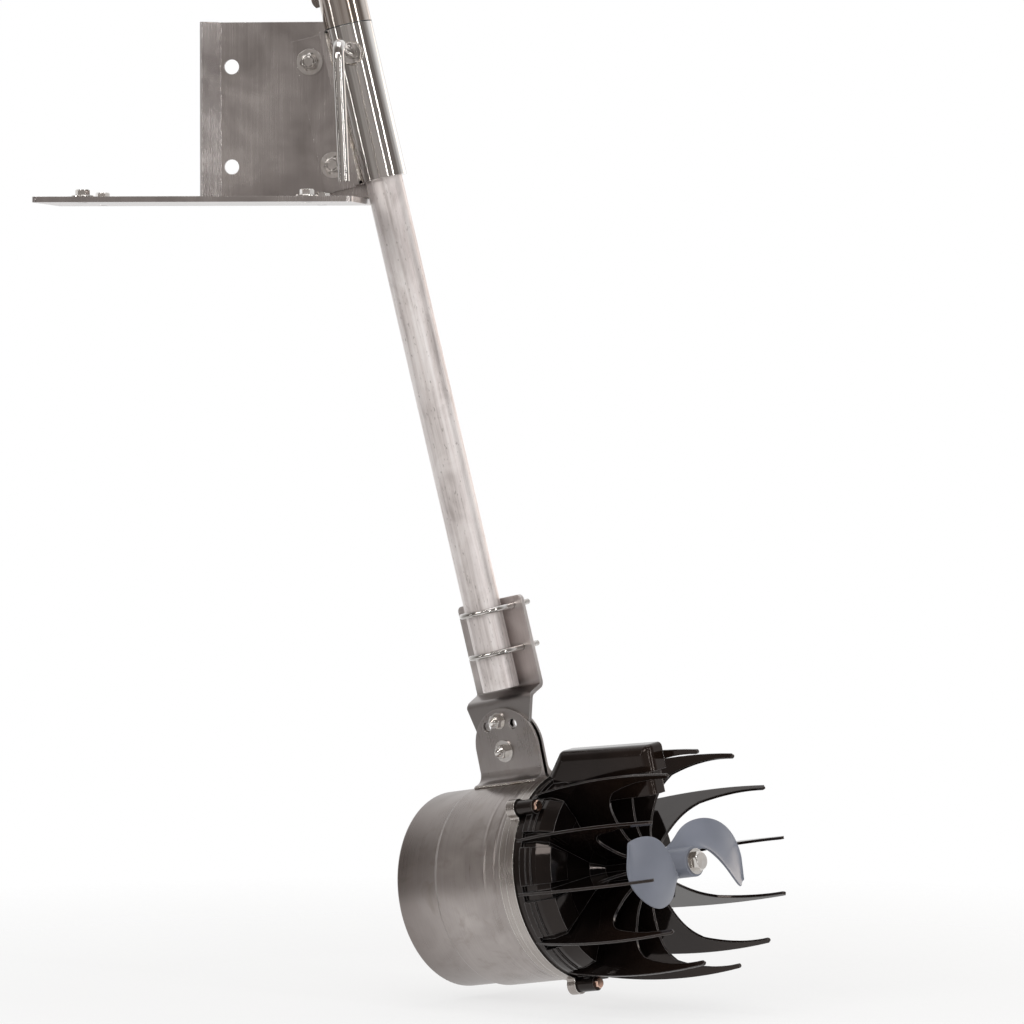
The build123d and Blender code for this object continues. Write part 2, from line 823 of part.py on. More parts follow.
# One fin: bellied outside, hollowed inside, with a small step where the hollow meets the blade
root = guard_wall / 2
fin_tip_radius = rim_radius + fin_tip_over
with BuildPart() as fin:
    with BuildSketch(placed(front, (0, fin_thick / 2, 0), normal=(0, -1, 0))) as fin_profile:
        with BuildLine():
            foot = (rim_radius - root, rim_height)
            tip_out = (fin_tip_radius + fin_tip_round, fin_tip - fin_tip_round)
            tip_in = (fin_tip_radius - fin_tip_round, fin_tip - fin_tip_round)
            knuckle = (rim_radius - knuckle_inset, knuckle_at)
            lip = (knuckle[0] + knuckle_step, knuckle_at + knuckle_step)
            eye = (hub_boss - root, hub_boss_front - guard_wall)
            ThreePointArc(foot, (rim_radius + fin_belly_over, fin_belly_at), tip_out)
            ThreePointArc(tip_out, (fin_tip_radius, fin_tip), tip_in)
            Spline(tip_in, (rim_radius - mouth_inset, mouth_at), lip)
            Line(lip, knuckle)
            Spline(knuckle, (fin_throat, fin_throat_at), eye, tangents=((-0.8, -1), (-0.55, 1)))
            Polyline(
                eye,
                (hub_boss - root, wall_height - root),
                (wall_radius - root, wall_height - root),
                (barrel_radius - root, barrel_height),
                (barrel_radius - root, rim_height),
                foot,
            )
        make_face()
    extrude(amount=fin_thick)

# Cord housing of the guard: a rounded box beside the top fin, with its inlet at the rear
housing_foot_at = rim_height + housing_lift
housing_under = rim_radius - housing_under_inset
housing_nose = rim_radius + housing_nose_over
with BuildPart() as housing:
    with BuildSketch(placed(front, (0, housing_near, 0), normal=(0, -1, 0))):
        with BuildLine():
            Polyline(
                (housing_under, housing_foot_at),
                (rim_radius, housing_foot_at),
                (rim_radius + housing_top_over, housing_rear),
                (housing_nose, housing_front),
                (housing_under, housing_front),
                close=True,
            )
        make_face()
    extrude(amount=housing_near - housing_far)
    ends = housing.edges().filter_by(Axis(motor.origin, motor.y_dir))
    fillet(ends.sort_by(Axis(motor.origin, motor.x_dir))[-2:], housing_round / 2)
    near_face = housing.faces().sort_by(Axis(motor.origin, motor.y_dir))[-1]
    outline = near_face.edges().sort_by(Axis(motor.origin, motor.x_dir))
    fillet(outline[1:], housing_round)
    with BuildSketch(placed(front, (rim_radius + entry_over, entry_across, housing_foot_at))):
        Circle(entry_bore / 2)
    extrude(amount=entry_depth, mode=Mode.SUBTRACT)

# Duct that goes down from the housing's nose to the front wall
duct_low = rim_radius - duct_inset
with BuildPart() as duct:
    with BuildSketch(placed(front, (0, duct_near, 0), normal=(0, -1, 0))):
        with BuildLine():
            Polyline(
                (housing_under + pad_seat, wall_height - pad_seat),
                (housing_under + pad_seat, duct_front),
                (duct_low, duct_front),
                (duct_low, wall_height - pad_seat),
                close=True,
            )
        make_face()
    extrude(amount=duct_near - housing_far)
    nose = duct.faces().sort_by(Axis(motor.origin, motor.z_dir))[-1]
    near_edge = nose.edges().sort_by(Axis(motor.origin, motor.y_dir))[-1]
    fillet(near_edge, duct_round)

# Guard: the shell, its fins, the stepped pads between them, the screw bosses and the housing
with BuildPart() as guard:
    add(guard_shell)
    for index in range(fin_count):
        add(fin.part.rotate(motor_axis, index * 360 / fin_count))
    for index in range(1, fin_count):
        pad_from = radians((index + 0.5) * 360 / fin_count - pad_arc / 2)
        with BuildSketch(placed(
            front,
            (0, 0, 0),
            normal=(sin(pad_from), -cos(pad_from), 0),
            across=(cos(pad_from), sin(pad_from), 0),
        )):
            with BuildLine():
                steps = [(barrel_radius - pad_seat, foot_height)]
                level = foot_height
                for inset, end in zip(pad_step_insets, pad_step_ends):
                    steps.append((rim_radius - inset, level))
                    steps.append((rim_radius - inset, end))
                    level = end
                Polyline(
                    *steps,
                    (rim_radius - pad_front_inset, pad_front),
                    (pad_inner, pad_front),
                    (pad_inner, wall_height - pad_seat),
                    (wall_radius - pad_seat, wall_height - pad_seat),
                    (barrel_radius - pad_seat, barrel_height),
                    close=True,
                )
            make_face()
        revolve(axis=motor_axis, revolution_arc=pad_arc)
    with BuildSketch(front):
        with PolarLocations(screw_circle, screw_count, start_angle=screw_turn):
            Circle(screw_boss / 2)
    extrude(amount=screw_seat)
    with BuildSketch(front):
        with PolarLocations(screw_circle, screw_count, start_angle=screw_turn):
            Circle(guard_screw / 2 + slip)
    extrude(amount=fin_tip, mode=Mode.SUBTRACT)
    add(housing.part)
    add(duct.part)
save(guard.part, "guard")

# Bushing at the end of the cord inlet
bushing_at = housing_foot_at + entry_depth - bushing_length
bushing_seat = placed(front, (rim_radius + entry_over, entry_across, bushing_at))
save(ring(bushing_seat, entry_bore - 2 * slip, bushing_bore, bushing_length), "cord_bushing")

# Guard screws
for index in range(screw_count):
    angle = radians(screw_turn + index * 360 / screw_count)
    place = (screw_circle * cos(angle), screw_circle * sin(angle), screw_seat)
    seat = placed(front, place, normal=(0, 0, -1))
    shank = screw_seat + rim_floor
    screw = hex_bolt(seat, guard_screw, shank, guard_screw_flats, guard_screw_head)
    save(screw, "guard_screw_" + str(index + 1))

# Propeller: two skewed, twisted blades lofted through their sections, on a bored hub
hub_back = hub_boss_front + hub_gap
hub_front = hub_back + hub_length
with BuildPart() as propeller:
    for index in range(blade_count):
        for radius, skew, chord, pitch, height in blade_sections:
            angle = radians(skew + index * 360 / blade_count)
            lean = radians(pitch)
            with BuildSketch(placed(
                front,
                (radius * sin(angle), radius * cos(angle), hub_back + height),
                normal=(sin(angle), cos(angle), 0),
                across=(cos(angle) * cos(lean), -sin(angle) * cos(lean), sin(lean)),
            )):
                SlotOverall(chord, blade_thick)
        loft()
    with BuildSketch(placed(front, (0, 0, hub_back))):
        Circle(hub_radius)
    extrude(amount=hub_length)
    with BuildSketch(placed(front, (0, 0, hub_back))):
        Circle(shaft_nose + slip)
    extrude(amount=hub_length, mode=Mode.SUBTRACT)
save(propeller.part, "propeller")

# Washer and bolt that hold the propeller on the shaft
washer_seat = placed(front, (0, 0, hub_front))
bolt_seat = placed(front, (0, 0, hub_front + prop_washer_thick), normal=(0, 0, -1))
save(ring(washer_seat, prop_washer, prop_bolt + 2 * slip, prop_washer_thick), "propeller_washer")
save(hex_bolt(bolt_seat, prop_bolt, prop_bolt_length, prop_flats, prop_head), "propeller_bolt")

# Shaft with its stepped nose, tapped for the bolt
nose_back = flange_front + hub_back
nose_front = flange_front + hub_front - bolt_past
tap_end = flange_front + hub_front - prop_bolt_length
shaft = turned(
    profile,
    motor_axis,
    (
        (0, shaft_back),
        (shaft_radius, shaft_back),
        (shaft_radius, nose_back),
        (shaft_nose, nose_back),
        (shaft_nose, nose_front),
        (prop_bolt / 2 + slip, nose_front),
        (prop_bolt / 2 + slip, tap_end),
        (0, tap_end),
    ),
)
save(shaft, "shaft")

# Rotor core on the shaft and the stator round it
stack_seat = placed(motor, (0, 0, stack_at))
save(ring(stack_seat, 2 * rotor_radius, 2 * (shaft_radius + slip), stack_length), "rotor_core")
save(ring(stack_seat, 2 * stator_radius, 2 * (rotor_radius + stator_gap), stack_length), "stator")

# Rear plate inside the can, with the pocket of the rear bearing
pocket = bearing_radius + slip
rear_seat = can_wall + rear_plate_thick
rear_pocket = shaft_back + shaft_clear
rear_plate_radius = can_radius - can_wall - rear_plate_inset
rear_plate = turned(
    profile,
    motor_axis,
    (
        (0, can_wall),
        (rear_plate_radius, can_wall),
        (rear_plate_radius, rear_seat),
        (pocket + bearing_wall, rear_seat),
        (pocket + bearing_wall, rear_pocket + bearing_width),
        (pocket, rear_pocket + bearing_width),
        (pocket, rear_pocket),
        (shaft_radius + shaft_clear, rear_pocket),
        (shaft_radius + shaft_clear, shaft_back - rear_dish),
        (0, shaft_back - rear_dish),
    ),
)
save(rear_plate, "rear_plate")

# Front plate: it sits in the flange's spigot, holds the front bearing and clasps the stator
plate_radius = spigot_bore - slip
clasp = stator_radius + slip
clasp_at = stack_at + stack_length - clasp_depth
front_plate = turned(
    profile,
    motor_axis,
    (
        (pocket, plate_front),
        (plate_radius, plate_front),
        (plate_radius, front_plate_at),
        (clasp + clasp_wall, front_plate_at),
        (clasp + clasp_wall, clasp_at),
        (clasp, clasp_at),
        (clasp, front_plate_at),
        (pocket + bearing_wall, front_plate_at),
        (pocket + bearing_wall, front_pocket - bearing_lip),
        (shaft_radius + shaft_clear, front_pocket - bearing_lip),
        (shaft_radius + shaft_clear, front_pocket),
        (pocket, front_pocket),
    ),
)
save(front_plate, "front_plate")

# Bearings and the shaft seal
bearing_bore = 2 * (shaft_radius + slip)
rear_bearing_seat = placed(motor, (0, 0, rear_pocket))
front_bearing_seat = placed(motor, (0, 0, front_pocket))
seal_seat = placed(front, (0, 0, seal_back))
save(ring(rear_bearing_seat, 2 * bearing_radius, bearing_bore, bearing_width), "rear_bearing")
save(ring(front_bearing_seat, 2 * bearing_radius, bearing_bore, bearing_width), "front_bearing")
save(ring(seal_seat, 2 * (seal_radius - slip), bearing_bore, seal_length), "shaft_seal")

# Start capacitor, standing on the rear plate
with BuildPart() as capacitor:
    with BuildSketch(placed(motor, (capacitor_inset - can_radius, 0, rear_seat))):
        Circle(capacitor_radius)
    extrude(amount=capacitor_length)
save(capacitor.part, "capacitor")
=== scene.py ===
from math import cos, pi, radians, sin, sqrt, tan

import bmesh
import bpy
from mathutils import Matrix, Vector


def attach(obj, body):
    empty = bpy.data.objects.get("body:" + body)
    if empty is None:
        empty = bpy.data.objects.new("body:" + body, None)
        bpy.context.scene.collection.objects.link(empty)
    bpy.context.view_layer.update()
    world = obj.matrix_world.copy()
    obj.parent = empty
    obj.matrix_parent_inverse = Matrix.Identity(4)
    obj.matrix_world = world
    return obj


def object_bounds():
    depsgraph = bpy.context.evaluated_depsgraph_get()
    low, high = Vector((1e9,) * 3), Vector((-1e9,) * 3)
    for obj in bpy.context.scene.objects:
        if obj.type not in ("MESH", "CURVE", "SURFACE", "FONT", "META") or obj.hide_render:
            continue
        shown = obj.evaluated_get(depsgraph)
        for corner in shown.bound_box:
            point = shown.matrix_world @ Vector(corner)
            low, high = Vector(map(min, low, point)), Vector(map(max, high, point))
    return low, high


# Dressing of the dock-mounted water circulator: materials for the solids, and the lag screws,
# weld beads and bolt threads that the solids are without. Places on the part are in
# millimetres, in the local frames below, and become metres when a piece is made.
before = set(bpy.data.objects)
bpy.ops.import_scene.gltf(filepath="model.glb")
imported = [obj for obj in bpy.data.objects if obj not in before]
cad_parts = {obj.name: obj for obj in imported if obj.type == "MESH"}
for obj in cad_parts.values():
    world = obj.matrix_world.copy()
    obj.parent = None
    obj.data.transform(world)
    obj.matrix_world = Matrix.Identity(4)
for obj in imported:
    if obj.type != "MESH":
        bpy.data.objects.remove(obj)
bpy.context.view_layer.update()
MM = 0.001

# Bracket: base plate with its deck holes, upright plate with one side bent forward
BASE_THICK = 6.35
BASE_RIGHT = 181.0
DECK_X = 127.0
DECK_Y = 63.5
UPRIGHT_FACE = 84.14
UPRIGHT_BEND = 7.0
UPRIGHT_LIP_X = 19.5
UPRIGHT_LIP_Y = 16.3
PIVOT_HEIGHT = 163.45

# Holder: sleeve with the boss of the lock screw
TILT_DEGREES = 13.05
LEVER_LEAN = 2.6
SLEEVE_RADIUS = 27.0
SLEEVE_OFFSET = 55.55
SLEEVE_STANDOFF = 32.0
SLEEVE_TOP = 27.2
SLEEVE_LENGTH = 177.8
BOSS_DROP = 6.2
BOSS_RADIUS = 11.5

# Pole: pipe with collar, saddle and U-bolts
POLE_CLEAR = 1.3
PIPE_OUTER = 42.16
PIPE_ABOVE = 169.0
PIPE_LENGTH = 914.4
PIPE_FOOT_AT = PIPE_ABOVE - PIPE_LENGTH
THRUST_THICK = 1.2
COLLAR_HALF = 38.1
COLLAR_MID = SLEEVE_TOP + THRUST_THICK + COLLAR_HALF - PIPE_FOOT_AT
COLLAR_NUT_OUT = 11.0
SADDLE_BACK = 25.84
U_RADIUS = 26.5
U_HEIGHTS = (41.5, 90.0)
U_WASHER = 1.3
U_NUT = 5.6
U_TAIL = 23.0
U_NUT_END = SADDLE_BACK + U_WASHER + U_NUT
U_TAIL_END = SADDLE_BACK + U_TAIL

# Head: ears on the can, in the frame of their pivot bolt, and the can from its back
PIVOT_SHIFT = 11.1
HEAD_DROP = 69.6
PIVOT_AT = 109.8
PIVOT_UP = 151.3
EAR_OUT = 5.63
EAR_FOOT = 20.0
EAR_FRONT = 49.5
EAR_BACK = -41.5
LOCK_RADIUS = 35.0
HEAD_NUT_END = 15.5
CAN_WIDE = 115.8
CAN_LENGTH = 160.0

# Directions and places that the local frames are made of
TILT = radians(TILT_DEGREES)
TURN = radians(33.49)
DROOP = radians(2.28)
LEVER_TILT = radians(TILT_DEGREES - LEVER_LEAN)
BACK = Vector((0, 1, 0))
ACROSS = Vector((cos(TILT), 0, sin(TILT)))
UP_POLE = Vector((-sin(TILT), 0, cos(TILT)))
HOLDER_Z = PIVOT_HEIGHT + SLEEVE_OFFSET * sin(TILT)
HOLDER_X = (
    BASE_RIGHT + POLE_CLEAR + PIPE_OUTER / 2 / cos(TILT) - (HOLDER_Z - BASE_THICK) * tan(TILT)
)
HOLDER = Vector((HOLDER_X, UPRIGHT_FACE - SLEEVE_STANDOFF, HOLDER_Z)) * MM
JET = cos(TURN) * ACROSS - sin(TURN) * BACK
AWAY = UP_POLE.cross(JET)
PIPE_FOOT = HOLDER + PIPE_FOOT_AT * MM * UP_POLE
HEAD_PIVOT = PIPE_FOOT - PIVOT_SHIFT * MM * JET - HEAD_DROP * MM * UP_POLE
SHAFT = cos(DROOP) * JET - sin(DROOP) * UP_POLE
LIFT = cos(DROOP) * UP_POLE + sin(DROOP) * JET
CAN_BACK = HEAD_PIVOT - PIVOT_AT * MM * SHAFT - PIVOT_UP * MM * LIFT
LEVER_UP = sin(LEVER_TILT) * ACROSS + cos(LEVER_TILT) * UP_POLE


def basis(origin, x_dir, y_dir, z_dir):
    """A matrix that places local axes at an origin."""
    matrix = Matrix((x_dir, y_dir, z_dir)).transposed().to_4x4()
    matrix.translation = origin
    return matrix


WORLD = Matrix.Identity(4)
HOLD = basis(HOLDER, ACROSS, BACK, UP_POLE)
POLE = basis(PIPE_FOOT, JET, AWAY, UP_POLE)
HEAD = basis(HEAD_PIVOT, SHAFT, AWAY, LIFT)
MOTOR = basis(CAN_BACK, LIFT, -AWAY, SHAFT)
LEVER = basis(HOLDER, BACK.cross(LEVER_UP), BACK, LEVER_UP)
Z_AXIS = 2

# Values that several materials share
BEVEL_SAMPLES = 4
# Painted highlights: the light tints that edges get
EDGE_HIGHLIGHT = (0.92, 0.90, 0.87)
POLISHED_HIGHLIGHT = (0.95, 0.93, 0.90)


class Nodes:
    """The nodes of a material or a world, added one by one."""

    def __init__(self, owner):
        owner.use_nodes = True
        self.nodes = owner.node_tree.nodes
        self.links = owner.node_tree.links
        self.coords = self.nodes.new("ShaderNodeTexCoord")

    def feed(self, socket, value):
        """Gives a socket another node's output, a colour, a vector or a number."""
        if isinstance(value, bpy.types.NodeSocket):
            self.links.new(value, socket)
        elif socket.type == "RGBA":
            socket.default_value = (*value, 1.0)
        else:
            socket.default_value = value

    def add(self, kind, **values):
        """A new node, with values for the inputs that are named."""
        node = self.nodes.new("ShaderNode" + kind)
        for name, value in values.items():
            self.feed(node.inputs[name.replace("_", " ")], value)
        return node

    def noise(self, vector, scale, detail, rough=0.5, distortion=0.0):
        """Clouds of values round a half."""
        node = self.add("TexNoise", Vector=vector, Scale=scale, Detail=detail, Roughness=rough)
        self.feed(node.inputs["Distortion"], distortion)
        return node.outputs["Fac"]

    def ramp(self, value, *stops):
        """The colour that a value has between stops, each a place and a colour."""
        node = self.add("ValToRGB", Fac=value)
        elements = node.color_ramp.elements
        while len(elements) < len(stops):
            elements.new(0.5)
        for element, (at, colour) in zip(elements, stops):
            element.position = at
            element.color = (*colour, 1.0)
        return node.outputs["Color"]

    def span(self, value, low, high, start=0.0, end=1.0):
        """Takes a value between low and high to a number from start to end."""
        node = self.add("MapRange", Value=value, From_Min=low, From_Max=high)
        self.feed(node.inputs["To Min"], start)
        self.feed(node.inputs["To Max"], end)
        return node.outputs["Result"]

    def mix(self, share, first, second):
        """The first colour, with a share of the second one."""
        node = self.add("Mix")
        node.data_type = "RGBA"
        self.feed(node.inputs[0], share)
        self.feed(node.inputs[6], first)
        self.feed(node.inputs[7], second)
        return node.outputs[2]

    def math(self, kind, first, second=0.0, clamp=False):
        """A sum, a product or the like of two numbers."""
        node = self.add("Math")
        node.operation = kind
        node.use_clamp = clamp
        self.feed(node.inputs[0], first)
        self.feed(node.inputs[1], second)
        return node.outputs[0]

    def rays(self, *kinds):
        """One on rays of the named kinds, and zero on all others."""
        path = self.add("LightPath")
        total = path.outputs[kinds[0]]
        for kind in kinds[1:]:
            total = self.math("ADD", total, path.outputs[kind], clamp=True)
        return total


class Shader(Nodes):
    """A material whose nodes lead to its Principled BSDF."""

    def __init__(self, name):
        self.mat = bpy.data.materials.new(name)
        super().__init__(self.mat)
        self.bsdf = self.nodes["Principled BSDF"]

    def put(self, **values):
        """Feeds the inputs of the Principled BSDF that are named."""
        for name, value in values.items():
            self.feed(self.bsdf.inputs[name.replace("_", " ")], value)

    def mapped(self, matrix=None, scale=(1, 1, 1)):
        """Object coordinates in a local frame, stretched by a scale."""
        mapping = self.add("Mapping", Vector=self.coords.outputs["Object"])
        if matrix is not None:
            inverse = matrix.inverted()
            self.feed(mapping.inputs["Location"], inverse.translation)
            self.feed(mapping.inputs["Rotation"], inverse.to_euler())
        stretch = self.add("VectorMath", Vector=mapping.outputs[0])
        stretch.operation = "MULTIPLY"
        self.feed(stretch.inputs[1], scale)
        return stretch.outputs[0]

    def along(self, matrix, axis):
        """The coordinate along one axis of a local frame."""
        return self.add("SeparateXYZ", Vector=self.mapped(matrix)).outputs[axis]

    def band(self, matrix, axis, at, width):
        """A soft ridge across one axis of a local frame."""
        off = self.math("SUBTRACT", self.along(matrix, axis), at * MM)
        return self.span(self.math("ABSOLUTE", off), width * MM, 0.0)

    def bevel(self, radius):
        """The surface's normal, rounded near edges."""
        node = self.add("Bevel", Radius=radius)
        node.samples = BEVEL_SAMPLES
        return node.outputs[0]

    def edge_highlight(self, base, tint, radius, share, start=0.3):
        """A painted highlight: a colour with a share of a light tint near edges, where the
        bevelled normal turns away.
        """
        dot = self.add("VectorMath", Vector=self.bevel(radius))
        dot.operation = "DOT_PRODUCT"
        self.feed(dot.inputs[1], self.add("NewGeometry").outputs["Normal"])
        edge = self.span(dot.outputs["Value"], 1.0, 0.92)
        return self.mix(self.span(edge, start, 1.0, 0.0, share), base, tint)

    def bump(self, height, strength, distance, round_edges=0.0):
        """Relief from a height, over edges that are rounded by a radius."""
        node = self.add("Bump", Strength=strength, Distance=distance, Height=height)
        if round_edges:
            self.feed(node.inputs["Normal"], self.bevel(round_edges))
        self.put(Normal=node.outputs["Normal"])

    def blend(self, share, first, second):
        """The first shader, with a share of the second one."""
        node = self.add("MixShader")
        for socket, value in zip(node.inputs, (share, first, second)):
            self.feed(socket, value)
        return node.outputs[0]


def brushed(name, matrix, grain, dark, light, rough, bump, stain=None, bands=(),
            highlight=(0.3, 1.2), drawn=0.4, spread=0.16, painted_shade=None):
    """Stainless steel with a grain along one axis, soft clouds and painted highlights on the
    edges.

    drawn is the grain's share of the tone and spread the range of tones. highlight is the share
    and the radius of the painted highlights on the edges. bands are rings across the third axis:
    place, half width and height. painted_shade is painted shade: an axis, the two places between
    which it ends, and its tint.
    """
    s = Shader(name)
    s.put(Metallic=1.0)
    lines = s.noise(s.mapped(matrix, grain), scale=1.0, detail=5.0, rough=0.62)
    clouds = s.noise(s.mapped(matrix), scale=14.0, detail=3.0, distortion=0.6)
    tone = s.math("ADD", s.math("MULTIPLY", lines, drawn), s.math("MULTIPLY", clouds, 1 - drawn))
    base = s.ramp(tone, (0.5 - spread, dark), (0.5 + spread, light))
    if stain:
        spots = s.noise(s.mapped(matrix), scale=30.0, detail=4.0, rough=0.6, distortion=1.0)
        base = s.mix(s.span(spots, 0.52, 0.78, 0.0, 0.6), base, stain)
    # Painted shade: a tint that darkens the part towards the low end of an axis
    if painted_shade:
        axis, low, high, tint = painted_shade
        base = s.mix(s.span(s.along(matrix, axis), low * MM, high * MM), tint, base)
    # Painted highlight: a light tint near the edges
    share, radius = highlight
    base = s.edge_highlight(base, EDGE_HIGHLIGHT, radius * MM, share, start=0.2)
    gloss = s.span(s.math("ADD", lines, clouds), 0.6, 1.4, rough - 0.07, rough + 0.08)
    s.put(Base_Color=base, Roughness=gloss)
    height = s.math("MULTIPLY", lines, bump)
    for at, width, lift in bands:
        ridge = s.math("MULTIPLY", s.band(matrix, Z_AXIS, at, width), lift)
        height = s.math("ADD", height, ridge)
    s.bump(height, strength=1.0, distance=0.0006, round_edges=0.0005)


def polished(name, matrix, dark, light, rough, slow=(150, 150, 1.2), fine=(1400, 1400, 14),
             edge=0.5):
    """Polished tube and rod: fine draw lines lengthwise over slow bands, which by default run
    lengthwise as painted reflection streaks, and painted highlights on the edges.
    """
    s = Shader(name)
    s.put(Metallic=1.0)
    # Painted reflection: by default the slow bands run lengthwise and stand in for the streaks a
    # polished tube reflects
    bands = s.noise(s.mapped(matrix, slow), scale=1.0, detail=3.0, rough=0.55)
    lines = s.noise(s.mapped(matrix, fine), scale=1.0, detail=3.0, rough=0.6)
    tone = s.math("ADD", s.math("MULTIPLY", bands, 0.75), s.math("MULTIPLY", lines, 0.25))
    base = s.ramp(tone, (0.38, dark), (0.56, light))
    if edge:
        # Painted highlight: a light tint near the edges
        base = s.edge_highlight(base, POLISHED_HIGHLIGHT, radius=0.0008, share=0.5)
    s.put(Base_Color=base, Roughness=s.span(lines, 0.3, 0.7, rough - 0.03, rough + 0.04))
    s.bump(lines, strength=0.03, distance=0.0003, round_edges=edge * MM)


def pole_metal():
    """Raw pipe: mottled grey with draw marks, small dark pits and whitish bloom."""
    s = Shader("pole_metal")
    s.put(Metallic=0.6)
    drawn = s.noise(s.mapped(POLE, (220, 220, 7)), scale=1.0, detail=4.0, rough=0.6)
    bloom = s.noise(s.mapped(POLE, (1, 1, 0.5)), scale=26.0, detail=5.0, rough=0.62,
                    distortion=0.8)
    pits = s.noise(s.mapped(POLE, (1, 1, 0.35)), scale=420.0, detail=2.0)
    tone = s.math("ADD", s.math("MULTIPLY", drawn, 0.5), s.math("MULTIPLY", bloom, 0.5))
    greys = (
        (0.38, (0.56, 0.51, 0.495)),
        (0.5, (0.79, 0.738, 0.722)),
        (0.62, (0.93, 0.892, 0.878)),
    )
    base = s.mix(s.span(pits, 0.645, 0.72, 0.0, 0.5), s.ramp(tone, *greys), (0.24, 0.205, 0.19))
    s.put(Base_Color=base, Roughness=s.span(bloom, 0.3, 0.7, 0.4, 0.58))
    s.bump(s.math("ADD", drawn, pits), strength=0.12, distance=0.0004, round_edges=0.0006)


def glossy_black():
    """Moulded black plastic: high gloss with faint flow waves, a painted warm sheen on the fins,
    and painted highlights on the edges.
    """
    fins_from, fins_to = 250, 310
    s = Shader("glossy_black")
    s.put(Metallic=0.0, IOR=1.42, Specular_Tint=(1.0, 0.87, 0.82))
    flow = s.noise(s.mapped(MOTOR), scale=22.0, detail=3.0, distortion=0.5)
    dust = s.noise(s.mapped(MOTOR), scale=180.0, detail=4.0, rough=0.6)
    base = s.ramp(flow, (0.3, (0.003, 0.0021, 0.0019)), (0.7, (0.009, 0.0065, 0.0058)))
    # Painted sheen: the fins turn warm brown, as if lit from behind
    fin_sheen = s.span(s.along(MOTOR, Z_AXIS), fins_from * MM, fins_to * MM, 0.0, 0.8)
    base = s.mix(fin_sheen, base, (0.012, 0.007, 0.005))
    # Painted highlight: light edges
    base = s.edge_highlight(base, (0.48, 0.47, 0.475), radius=0.001, share=0.34, start=0.25)
    waves = s.span(flow, 0.3, 0.7, 0.05, 0.10)
    s.put(Base_Color=base, Roughness=s.math("ADD", waves, s.span(dust, 0.5, 0.8, 0.0, 0.06)))
    s.bump(flow, strength=0.10, distance=0.0025, round_edges=0.0016)


def slate_paint():
    """Slate-grey paint of the propeller, satin with a faint orange peel and painted highlights on
    the edges.
    """
    s = Shader("slate_paint")
    s.put(Metallic=0.0, IOR=1.45)
    peel = s.noise(s.mapped(MOTOR), scale=420.0, detail=2.0)
    cloud = s.noise(s.mapped(MOTOR), scale=18.0, detail=3.0)
    base = s.ramp(cloud, (0.3, (0.185, 0.198, 0.240)), (0.7, (0.225, 0.240, 0.290)))
    # Painted highlight: lighter edges
    base = s.edge_highlight(base, (0.36, 0.37, 0.40), radius=0.0008, share=0.25)
    s.put(Base_Color=base, Roughness=s.span(cloud, 0.3, 0.7, 0.32, 0.44))
    s.bump(peel, strength=0.05, distance=0.0003, round_edges=0.0006)


def dark_plastic():
    """Plain moulded plastic with fine grain."""
    s = Shader("dark_plastic")
    grain = s.noise(s.mapped(), scale=480.0, detail=3.0, rough=0.6)
    cloud = s.noise(s.mapped(), scale=60.0, detail=3.0)
    base = s.ramp(cloud, (0.3, (0.05, 0.05, 0.055)), (0.7, (0.09, 0.09, 0.095)))
    s.put(Base_Color=base, Roughness=s.span(cloud, 0.3, 0.7, 0.45, 0.58))
    s.bump(grain, strength=0.15, distance=0.0003)


# Sheet metal, fasteners and welds, all with painted highlights on their edges
brushed(
    "plate_steel", None, grain=(900, 900, 11), drawn=0.16, spread=0.14,
    dark=(0.35, 0.321, 0.311), light=(0.54, 0.504, 0.49), rough=0.24, bump=0.008,
)
brushed(
    "can_steel", MOTOR, grain=(9, 9, 700), drawn=0.25,
    dark=(0.285, 0.255, 0.242), light=(0.44, 0.402, 0.385), stain=(0.22, 0.185, 0.16),
    # Painted dark reflection: the can darkens towards its back end
    painted_shade=(Z_AXIS, -30.0, 95.0, (0.19, 0.165, 0.155)),
    rough=0.30, bump=0.012, bands=((134.0, 3.0, 0.5), (151.0, 2.5, -0.6)),
)
# Flange: a strong painted highlight along its edges
brushed(
    "rim_steel", MOTOR, grain=(9, 9, 900), highlight=(0.85, 1.2),
    dark=(0.31, 0.28, 0.26), light=(0.48, 0.445, 0.42), rough=0.26, bump=0.02,
)
brushed(
    "ear_steel", HEAD, grain=(500, 500, 30), drawn=0.2,
    dark=(0.28, 0.256, 0.248), light=(0.37, 0.343, 0.333), stain=(0.26, 0.22, 0.20),
    rough=0.30, bump=0.008,
)
brushed(
    "saddle_steel", POLE, grain=(700, 700, 40), drawn=0.25,
    dark=(0.52, 0.48, 0.468), light=(0.74, 0.695, 0.68),
    # Painted shade: the saddle darkens towards its lower end, the tongue
    painted_shade=(Z_AXIS, -14.0, 16.0, (0.26, 0.242, 0.235)),
    rough=0.34, bump=0.015,
)
brushed(
    "fastener_steel", None, grain=(120, 120, 120), highlight=(0.3, 0.3),
    dark=(0.54, 0.515, 0.49), light=(0.82, 0.80, 0.78), stain=(0.46, 0.38, 0.31),
    rough=0.09, bump=0.004,
)
brushed(
    "screw_steel", None, grain=(300, 300, 300),
    dark=(0.60, 0.36, 0.27), light=(0.80, 0.54, 0.43), stain=(0.50, 0.24, 0.15),
    rough=0.22, bump=0.02,
)
brushed(
    "weld_steel", None, grain=(200, 200, 200),
    dark=(0.42, 0.385, 0.35), light=(0.68, 0.645, 0.61), stain=(0.34, 0.25, 0.17),
    rough=0.2, bump=0.06,
)

